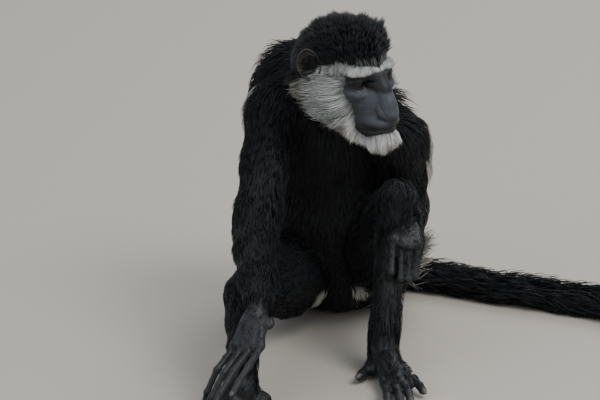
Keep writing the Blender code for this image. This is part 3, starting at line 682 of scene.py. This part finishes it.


# each coat: how many tufts, their width, reach along the body, least and most height, and how upright the tip goes;
# ends: brightness from root to tip, with painted shade at the root and painted light at the tip, even: least share of
# the depth filled, gather: how far tips lean into locks
# white locks: deep painted shade at the root, painted light at the tip
paleEnds = [0.40, 0.80, 1.05, 1.12]
limbCoat = {"wide": 0.0011, "reach": 0.028, "upright": 0.25, "least": 0.002, "most": 0.014}
coatLook = {
    "coat_crown": {"count": 10500, "wide": 0.0010, "reach": 0.005, "upright": 0.85, "least": 0.010, "most": 0.034,
        "even": 0.83, "gather": 0.35, "more": 0.004},
    "coat_brow": {"ends": paleEnds, "count": 4500, "wide": 0.0006, "reach": 0.007, "upright": 0.3, "least": 0.002,
        "most": 0.006, "gather": 0.15},
    "coat_cheeks": {"ends": paleEnds, "count": 10500, "wide": 0.0010, "reach": 0.028, "upright": 0.35,
        "least": 0.005, "most": 0.026, "ragged": 0.1, "gather": 0.3},
    "coat_beard": {"ends": paleEnds, "count": 5500, "wide": 0.0008, "reach": 0.014, "upright": 0.4, "least": 0.008,
        "most": 0.022, "ragged": 0.2, "gather": 0.05, "more": 0.002, "free": True},
    "coat_back": {"crest": 0.022, "ragged": 0.05, "count": 9000, "wide": 0.0015, "reach": 0.038, "upright": 0.25,
        "least": 0.008, "most": 0.028},
    "coat_trunk": {"count": 7000, "wide": 0.0016, "reach": 0.036, "upright": 0.2, "least": 0.007, "most": 0.022},
    "coat_seat": {"count": 400, "wide": 0.0010, "reach": 0.012, "upright": 0.4, "least": 0.004, "most": 0.008, "free": True},
    "coat_shoulder": {"ends": paleEnds, "count": 1400, "wide": 0.0010, "reach": 0.034, "upright": 0.2,
        "least": 0.009, "most": 0.013},
    "coat_mantle": {"ends": paleEnds, "count": 5000, "wide": 0.0014, "reach": 0.075, "upright": 0.12, "least": 0.022,
        "most": 0.036},
    **{f"coat_arm_{name}": {"count": 6500, **limbCoat} for name in sides},
    **{f"coat_leg_{name}": {"count": 7500, **limbCoat} for name in sides},
    "coat_tail": {"count": 6200, "wide": 0.0014, "reach": 0.034, "upright": 0.3, "least": 0.006, "most": 0.020,
        "ragged": 0.9, "more": 0.002, "gather": 0.7},
    "coat_tail_tuft": {"count": 4800, "wide": 0.0014, "reach": 0.060, "upright": 0.5, "least": 0.010, "most": 0.034},
}


paleCoats = ("coat_brow", "coat_cheeks", "coat_beard", "coat_mantle", "coat_shoulder", "coat_seat", "coat_tail_tuft")


def envelopeTree():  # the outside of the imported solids, which the tips of the coat reach
    points, faces = [], []
    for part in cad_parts.values():
        start = len(points)
        points += [tuple(part.matrix_world @ v.co) for v in part.data.vertices]
        faces += [[start + i for i in face.vertices] for face in part.data.polygons]
    return BVHTree.FromPolygons(points, faces)


def treeOf(points):
    tree = KDTree(len(points))
    for i, p in enumerate(points):
        tree.insert(p, i)
    tree.balance()
    return tree


def depthTo(tree, place, heading, most):  # how far out the solid goes, past the thin gaps between solids
    gone = 0.0
    while gone < most:
        hit = tree.ray_cast(place + heading * (gone + 1e-5), heading, most - gone)
        if hit[0] is None:
            return gone
        gone += hit[3] + 1e-5
        after = tree.ray_cast(place + heading * (gone + 1e-5), heading, 0.0022)
        if after[0] is None:
            return gone
        gone += after[3] + 1e-5
    return most


def along(route, points):  # share of the way along a line, and the angle round it
    route = np.array(route)
    best, share, angle = np.full(len(points), 1e9), np.zeros(len(points)), np.zeros(len(points))
    lengths = norm(np.diff(route, axis=0))
    starts = np.concatenate([[0], np.cumsum(lengths)])
    for i, length in enumerate(lengths):
        axis = (route[i + 1] - route[i]) / length
        t = np.clip((points - route[i]) @ axis, 0, length)
        off = points - route[i] - t[:, None] * axis
        far = norm(off)
        side = np.cross(axis, [0.3, 0.9, 0.2])
        side /= np.linalg.norm(side)
        closer = far < best
        best[closer] = far[closer]
        share[closer] = ((starts[i] + t) / starts[-1])[closer]
        angle[closer] = (np.arctan2(off @ np.cross(axis, side), off @ side) / (2 * math.pi) + 0.5)[closer]
    return share, angle


def growCoat(name, skin, weight, route, material):
    look = coatLook[name]
    corners = skin["faces"]
    areas = skin["areas"] * weight[corners].min(1)
    pick = np.searchsorted(np.cumsum(areas) / areas.sum(), dice.random(look["count"]))
    pick = np.minimum(pick, len(corners) - 1)
    a, b = dice.random((2, len(pick)))
    flip = a + b > 1
    a[flip], b[flip] = 1 - a[flip], 1 - b[flip]
    bary = np.stack([1 - a - b, a, b], 1)
    take = lambda values: (values[corners[pick]] * bary.reshape(bary.shape + (1,) * (values.ndim - 1))).sum(1)
    root, normal, flow, tone = take(skin["points"]), unit(take(skin["normals"])), take(skin["flow"]), take(skin["tone"])
    size = take(skin["length"])
    rows, sidesOut = [root - normal * 0.0012], []
    height = np.empty(len(root))
    lean = unit(normal + 0.25 * unit(flow))
    for i in range(len(root)):
        height[i] = depthTo(skin["envelope"], Vector(root[i]), Vector(lean[i]), look["most"])
    height = np.clip(height - 0.0008, look["least"] * size, look["most"])
    even = look.get("even", 0.35)
    height *= even + (1.04 - even) * dice.random(len(root)) ** 0.6
    fromCrest = norm(root - (-0.052, -0.006, 0.315))
    height += look.get("more", 0) + look.get("crest", 0) * np.exp(-(fromCrest / 0.013) ** 2) * dice.random(len(root))
    height *= 1 + look.get("ragged", 0.15) * np.sin(root @ (310, 190, 240)) * np.sin(root @ (-170, 260, 210) + 1)
    reach = look["reach"] * size * (0.7 + 0.6 * dice.random(len(root)))
    sway = dice.normal(0, 0.10, len(root)) + 0.16 * np.sin(root @ (190, 120, 160) + 3) * np.sin(root @ (90, -170, 140))
    place, up = root, normal
    for step, rise in enumerate([0.50, 0.86, 1.0] if look["upright"] < 0.6 else [0.36, 0.70, 1.0]):
        flat = unit(flow - up * (flow * up).sum(1)[:, None])
        turned = unit(flat + np.cross(up, flat) * sway[:, None])
        ahead = place + turned * (reach / 3)[:, None]
        if look.get("free"):  # hangs clear of the body
            place = ahead
        for i in range(0 if look.get("free") else len(ahead)):
            spot, faceNormal, face, far = skin["tree"].find_nearest(Vector(ahead[i]))
            up[i] = up[i] * 0.4 + np.array(faceNormal) * 0.6
            place[i] = np.array(spot)
            flow[i] = skin["flow"][corners[face][0]]
        up = unit(up)
        row = place + up * (height * rise)[:, None]
        row[:, 2] = np.maximum(row[:, 2], 0.0006 + 0.0004 * step)
        rows.append(row)
        sidesOut.append(np.cross(turned, up))
    sidesOut.insert(0, sidesOut[0])
    centres = treeOf(root[:len(root) // 9])  # neighbours lean together into locks
    chief = np.array([centres.find(p)[1] for p in root])
    for row, share in ((rows[2], 0.25), (rows[3], look.get("gather", 0.5))):
        row += (row[chief] - row) * share * ramp(0.016, 0.004, norm(root[chief] - root))[:, None]
    wide = look["wide"] * (0.6 + 0.8 * dice.random(len(root))) * np.clip(size, 0.5, 1.2)
    verts = []
    for row, side, share in zip(rows[:3], sidesOut, [0.75, 1.0, 0.7]):
        lift = np.cross(side, rows[3] - rows[0])
        lift = unit(np.where((lift * normal).sum(1)[:, None] < 0, -lift, lift))
        half = side * (wide * share * 0.5)[:, None]
        verts += [row + half, row - half, row + lift * (wide * share * 0.45)[:, None]]
    verts.append(rows[3])
    verts = np.stack(verts, 1)
    verts[:, :, 2] = np.maximum(verts[:, :, 2], 0.0004)
    tuftFaces = [[0, 2, 1]]
    for ring in (0, 3):
        for k in range(3):
            n = (k + 1) % 3
            tuftFaces += [[ring + k, ring + n, ring + 3 + n], [ring + k, ring + 3 + n, ring + 3 + k]]
    tuftFaces += [[6 + k, 6 + (k + 1) % 3, 9] for k in range(3)]
    tuftFaces = np.array(tuftFaces)
    count = len(root)
    faces = (tuftFaces[None] + (np.arange(count) * 10)[:, None, None]).reshape(-1, 3)
    mesh = bpy.data.meshes.new(name)
    mesh.vertices.add(count * 10)
    mesh.vertices.foreach_set("co", verts.reshape(-1).astype(np.float32))
    mesh.loops.add(len(faces) * 3)
    mesh.loops.foreach_set("vertex_index", faces.ravel().astype(np.int32))
    mesh.polygons.add(len(faces))
    mesh.polygons.foreach_set("loop_start", np.arange(0, len(faces) * 3, 3, dtype=np.int32))
    mesh.polygons.foreach_set("use_smooth", np.ones(len(faces), bool))
    mesh.update(calc_edges=True)
    ringOf = np.array([0, 0, 0, 1, 1, 1, 2, 2, 2, 3])
    # painted shade darkens each tuft towards its root and painted light brightens its tip, times a random tone per tuft
    ends = np.array(look.get("ends", [0.70, 0.90, 1.05, 1.15]))
    shade = (0.82 + 0.36 * dice.random(count))[:, None, None] * ends[ringOf][None, :, None]
    addColours(mesh, np.clip(tone[:, None, :] * shade, 0, 1).reshape(-1, 3))
    share, angle = along(route, root)
    spread = np.array([0, 0.5, 1] * 3 + [0.5])
    u = angle[:, None] + 0.003 * (spread - 0.5)
    v = share[:, None] + 0.003 * (ringOf / 3 - 0.5)
    uv = np.clip(np.stack([u, v], 2).reshape(-1, 2), 0, 1)
    mesh.uv_layers.new(name="OFBake").data.foreach_set("uv", uv[faces.ravel()].astype(np.float32).ravel())
    mesh.materials.append(material)
    coat = addObject(name, mesh)
    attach(coat, "root")


def makeEye(side, material):
    name = "eyeball_left" if side > 0 else "eyeball_right"
    work = bmesh.new()
    bmesh.ops.create_uvsphere(work, u_segments=48, v_segments=32, radius=faceLook["eyeRadius"] / 1000)
    for vert in work.verts:  # the cornea stands out a little
        outward = vert.co.normalized()
        vert.co += outward * 0.0007 * max(0, 1 - (outward.angle(Vector((0, 0, 1))) / 0.75) ** 2)
    obj = dress(written(work, name), material)
    axes = headAxes @ eyeAxes(side)
    turn = np.stack([axes[:, 1], axes[:, 2], axes[:, 0]], 1)
    place = inHead(*(np.array(faceLook["eyeCentre"]) * (1, side, 1)))
    obj.matrix_world = Matrix.Translation(place) @ Matrix(turn.tolist()).to_4x4()
    return obj


def eyeMaterial():  # wet eye: dark iris round a round pupil, brown-black white of the eye
    material, shader = newMaterial("wet eye", 0.08, 0.35)
    place = node(material, "TexCoord")
    flat = node(material, "VectorMath", {1: (1, 1, 0)}, {0: place.outputs["Object"]}, operation="MULTIPLY")
    far = node(material, "VectorMath", links={0: flat.outputs["Vector"]}, operation="LENGTH")
    share = node(material, "Math", {1: 100.0}, {0: far.outputs["Value"]}, operation="MULTIPLY")
    bands = node(material, "ValToRGB", links={"Fac": share.outputs[0]})
    stops = bands.color_ramp.elements
    stops[0].position, stops[0].color = 0.0, linear("#030303")
    stops[1].position, stops[1].color = 0.24, linear("#050404")
    for position, tone in ((0.28, "#1b110b"), (0.50, "#140d09"), (0.58, "#0a0706"), (0.66, "#0d0a09")):
        stops.new(position).color = linear(tone)
    link(material, bands.outputs["Color"], shader.inputs["Base Color"])
    return material


earLook = {"high": 0.040, "wide": 0.027, "cup": 0.0065, "rim": 0.0024}


def makeEar(side, material):  # a shallow shell with a rolled rim
    name = "pinna_left" if side > 0 else "pinna_right"
    rings, turns = 16, 56
    points = []
    for layer in (0, 1):
        for i in range(rings + 1):
            far = i / rings
            for k in range(turns):
                angle = 2 * math.pi * k / turns
                x, z = math.sin(angle), math.cos(angle)
                shape = 1 - 0.10 * max(0, -z) - 0.06 * abs(x * z)
                rimTop = 0.5 + 0.5 * max(0, z + 0.4)
                depth = -earLook["cup"] * (1 - far ** 2)
                depth += earLook["rim"] * rimTop * math.exp(-((far - 0.93) / 0.07) ** 2)
                depth += 0.0016 * math.exp(-((far - 0.58) / 0.09) ** 2) * (0.5 + 0.5 * math.sin(angle + 0.5))
                back = layer * (0.0016 + 0.0014 * (1 - far))
                points.append((x * far * shape * earLook["wide"] / 2, depth - back, z * far * shape * earLook["high"] / 2))
    size = (rings + 1) * turns
    faces = []
    for layer in (0, 1):
        for i in range(rings):
            for k in range(turns):
                n, base = (k + 1) % turns, layer * size
                face = [base + i * turns + k, base + i * turns + n, base + (i + 1) * turns + n, base + (i + 1) * turns + k]
                faces.append(face if layer else face[::-1])
    for k in range(turns):
        n, edge = (k + 1) % turns, rings * turns
        faces.append([edge + k, edge + n, size + edge + n, size + edge + k])
    mesh = meshFrom(name, points, faces)
    work = bmesh.new()
    work.from_mesh(mesh)
    bmesh.ops.remove_doubles(work, verts=work.verts, dist=0.00002)
    bmesh.ops.recalc_face_normals(work, faces=work.faces)
    obj = dress(written(work, mesh), material)
    facing = headAxes @ np.array([0.78, side * 0.62, 0.05])
    upright = headAxes @ np.array([-0.10, side * 0.22, 1.0])
    across = unit(np.cross(upright, facing))
    turn = np.stack([across, facing, np.cross(across, facing)], 1)
    place = inHead(-7, side * 51, 13.5)
    obj.matrix_world = Matrix.Translation(place) @ Matrix(turn.tolist()).to_4x4()
    return obj


def earMaterial():
    material, shader = newMaterial("thin bare ear skin", 0.55, 0.4)
    place = node(material, "TexCoord")
    patch = node(material, "TexNoise", {"Scale": 160, "Detail": 4}, {"Vector": place.outputs["Object"]})
    tone = node(material, "ValToRGB", links={"Fac": patch.outputs["Fac"]})
    tone.color_ramp.elements[0].position, tone.color_ramp.elements[0].color = 0.3, linear("#252220")
    tone.color_ramp.elements[1].position, tone.color_ramp.elements[1].color = 0.75, linear("#45403d")
    link(material, tone.outputs["Color"], shader.inputs["Base Color"])
    return material


def makeNails(material):  # a curved plate on the tip of each finger and toe
    work = bmesh.new()
    for place, heading, top, radius, zone in nailSpots:
        across = np.cross(heading, top)
        turn = Matrix(np.stack([across, heading, top], 1).tolist()).to_4x4()
        spot = place + heading * radius * 0.25 + top * radius * 0.42
        shape = Matrix.Translation(spot) @ turn @ Matrix.Diagonal((radius * 0.66, radius * 1.25, radius * 0.52, 1))
        bmesh.ops.create_uvsphere(work, u_segments=20, v_segments=12, radius=1, matrix=shape)
    return dress(written(work, "nails"), material)


def main():
    print("skin")
    mesh = makeSkin()
    mesh.polygons.foreach_set("use_smooth", np.ones(len(mesh.polygons), bool))
    points = pointsOf(mesh)
    field = fleshField(points, True)
    zone = field[3]
    tone, bare, white = markings(points, zone)
    addColours(mesh, markings(points, zone, True)[0])
    mesh.materials.append(skinMaterial())
    skinObject = addObject("skin", mesh)
    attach(skinObject, "root")
    kept = [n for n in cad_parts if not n.startswith(("eye_", "ear_"))]
    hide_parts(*kept)

    print("eyes, ears and nails")
    wet, ear, horn = eyeMaterial(), earMaterial(), newMaterial("dark nail horn", 0.4, 0.5)[0]
    horn.node_tree.nodes["Principled BSDF"].inputs["Base Color"].default_value = linear("#4a4643")
    for name, side in sides.items():
        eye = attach(makeEye(side, wet), "root")
        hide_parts("eye_" + name)
        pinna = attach(makeEar(side, ear), "root")
        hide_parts("ear_" + name)
    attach(makeNails(horn), "root")

    print("coat")
    growCoats(mesh, points, field, tone, bare, white)
    print("camera, light and floor")
    setStage()


def growCoats(mesh, points, field, tone, bare, white):
    zone = field[3]
    mesh.calc_loop_triangles()
    faces = np.empty(len(mesh.loop_triangles) * 3, np.int32)
    mesh.loop_triangles.foreach_get("vertices", faces)
    faces = faces.reshape(-1, 3)
    corner = points[faces]
    areas = norm(np.cross(corner[:, 1] - corner[:, 0], corner[:, 2] - corner[:, 0])) / 2
    h = toHead(points)
    isZone = lambda *names: inZones(zone, *names)
    flow = field[2].copy()
    f, l, u = h.T
    headFlow = np.column_stack([-np.ones(len(h)), 0.25 * np.sign(l), np.where(u > 16, 0.10, -0.38)])
    chin = ramp(22, 38, f) * ramp(-42, -50, u)
    top = (0.7 * ramp(-14, 40, f) * ramp(14, 20, u))[:, None]
    headFlow = lerp(headFlow, np.column_stack([1.2 + 0 * f, 0.3 * np.sign(l), 0.5 + 0 * f]), top)
    front = (ramp(14, 20, f) * ramp(0, 4, u))[:, None]
    headFlow = lerp(headFlow, np.column_stack([0.1 + 0 * f, 0.25 * np.sign(l), np.ones(len(f))]), front)
    headFlow = lerp(headFlow, np.column_stack([np.where(f > 44, 0.30, -0.20), 0.012 * l, -np.ones(len(f))]), chin[:, None])
    onHead = isZone("head")
    flow = np.where(onHead[:, None] > 0, headFlow @ headAxes.T, flow)
    length = np.ones(len(points))
    length = lerp(length, 0.42, isZone(*tipZones))
    length = np.where((isZone("head", "neck") > 0) & (f < 20), lerp(length, 0.42, ramp(-30, -46, u)), length)
    skin = {"points": points, "normals": normalsOf(mesh), "flow": unit(flow), "tone": tone, "length": length, "faces": faces,
            "areas": areas, "envelope": envelopeTree(), "tree": BVHTree.FromPolygons(points.tolist(), faces.tolist())}
    veil = white * isZone(*bodyZones)
    skin["flow"] = unit(lerp(skin["flow"], np.array([0, 0.15, -1.0]), (0.75 * veil)[:, None]))  # the veil hangs
    hairy = (bare < 0.06).astype(float)
    seat = (seatWhite(points) > 0).astype(float)
    cape = (np.min([toLine(points, line) for line in shoulderLines], 0) < 0.011).astype(float)
    wide = np.full(len(points), 1.0)
    for zoneName in ("handleft", "handright"):
        inHand = points[zone == zones.index(zoneName)][::7]
        tree = treeOf(inHand)
        close = np.nonzero(norm(points - inHand.mean(0)) < 0.14)[0]
        wide[close] = np.minimum(wide[close], [tree.find(p)[2] for p in points[close]])
    skin["length"] = length * lerp(0.35, 1, ramp(0.006, 0.030, wide))
    brow = onHead * white * ramp(12, 16, f) * ramp(2, 4, u)
    beard = onHead * white * ramp(18, 24, f) * ramp(-40, -46, u)
    backOfHand = np.ones(len(points))
    for name in sides:  # no coat on palms, soles or finger tips
        away = norm(points - wrist[name])
        normal = skin["normals"]
        facesBack = ramp(-0.1, 0.3, normal @ handBack[name])
        backOfHand *= 1 - isZone("hand" + name) * np.clip(1 - facesBack * ramp(0.085, 0.065, away), 0, 1)
        reach = (points - ankle[name] * (1, 1, 0)) @ aim(footTurn[name], 0)
        facesUp = ramp(0.1, 0.4, normal[:, 2] + 0.8 * ramp(0, -0.012, reach))
        backOfHand *= 1 - isZone("foot" + name) * np.clip(1 - facesUp * ramp(0.098, 0.080, reach), 0, 1)
    underJaw = ramp(-48, -58, u) * ramp(26, 16, f)
    dark = 1 - veil
    masks = {
        "coat_crown": onHead * ramp(0.45, 0.15, white),
        "coat_brow": brow,
        "coat_cheeks": isZone("head", "neck") * white * (1 - brow) * (1 - beard) * (1 - underJaw),
        "coat_beard": beard,
        "coat_back": isZone("neck", "trunk") * dark * (1 - white * isZone("neck")) * ramp(0.17, 0.19, points[:, 2]),
        "coat_trunk": isZone("trunk") * dark * ramp(0.19, 0.17, points[:, 2]),
        "coat_mantle": veil * (1 - seat) * (1 - cape),
        "coat_shoulder": veil * cape,
        "coat_seat": veil * seat,
        **{f"coat_arm_{name}": isZone("arm" + name, "hand" + name) * backOfHand * dark for name in sides},
        **{f"coat_leg_{name}": isZone("leg" + name, "foot" + name) * backOfHand * dark for name in sides},
        "coat_tail": isZone("tail"),
        "coat_tail_tuft": isZone("tailTuft"),
    }
    headLine = [inHead(0, 0, -95), inHead(0, 0, 55)]
    crownLine = [inHead(-75, 0, 5), inHead(60, 0, 5)]
    trunkLine = [(0, 0.02, -0.01), (-0.01, 0, 0.34)]
    limbLine = {"arm": lambda s: [shoulder[s], elbow[s], wrist[s], wrist[s] + handAim[s] * 0.1],
                "leg": lambda s: [hip[s], knee[s], ankle[s], ankle[s] * (1, 1, 0) + aim(footTurn[s], 0) * 0.12]}
    blackHair = hairMaterial("glossy black hair", 0.50, 0.32, 0.06)
    whiteHair = hairMaterial("dull white hair", 0.62, 0.35, 0.1)
    for name, mask in masks.items():
        if name == "coat_crown":
            line = crownLine
        elif name in ("coat_brow", "coat_cheeks", "coat_beard"):
            line = headLine
        elif name.startswith("coat_tail"):
            line = [p for p, r in tailRoute]
        elif name.startswith(("coat_arm", "coat_leg")):
            _, limb, which = name.split("_")
            line = limbLine[limb](which)
        else:
            line = trunkLine
        if name in paleCoats:
            growCoat(name, skin, mask * hairy, line, whiteHair)
        else:
            growCoat(name, skin, mask * hairy, line, blackHair)
        print(name)


studio = {
    "floor": "#b9b2a6", "sky": (0.80, 0.86, 0.95, 1), "skyStrength": 0.75, "aimAt": (0.1, -0.1, 0.15),
    "lamps": {"key light": ((1.5, -1.3, 2.7), 1.6, 60), "fill light": ((-2.2, -2.0, 1.6), 2.0, 12),
              "back light": ((0.8, 2.2, 2.4), 1.6, 30)},  # place, side in metres, watts
}


def turnTo(obj, place, target):
    obj.location = place
    obj.rotation_euler = (Vector(target) - obj.location).to_track_quat("-Z", "Y").to_euler()


def setStage():
    camera = bpy.data.objects.new("camera", bpy.data.cameras.new("camera"))
    scene.collection.objects.link(camera)
    camera.data.lens, camera.data.sensor_width = 218, 36
    turnTo(camera, (-0.044, -3.893, 1.439), (-0.044, -0.100, 0.170))
    scene.camera = camera
    reach, level = 30, -0.0002
    corners = [(-reach, -reach, level), (reach, -reach, level), (reach, reach, level), (-reach, reach, level)]
    floorMesh = meshFrom("floor", corners, [(0, 1, 2, 3)])
    pale, shader = newMaterial("plain pale floor", 0.8, 0.2)
    shader.inputs["Base Color"].default_value = linear(studio["floor"])
    floorMesh.materials.append(pale)
    floor = addObject("floor", floorMesh)
    world = bpy.data.worlds.new("studio")
    scene.world = world
    world.use_nodes = True
    sky = world.node_tree.nodes["Background"].inputs
    sky["Color"].default_value = studio["sky"]
    sky["Strength"].default_value = studio["skyStrength"]
    for name, (place, size, power) in studio["lamps"].items():
        lamp = bpy.data.objects.new(name, bpy.data.lights.new(name, "AREA"))
        scene.collection.objects.link(lamp)
        lamp.data.size, lamp.data.energy = size, power
        turnTo(lamp, place, studio["aimAt"])



main()
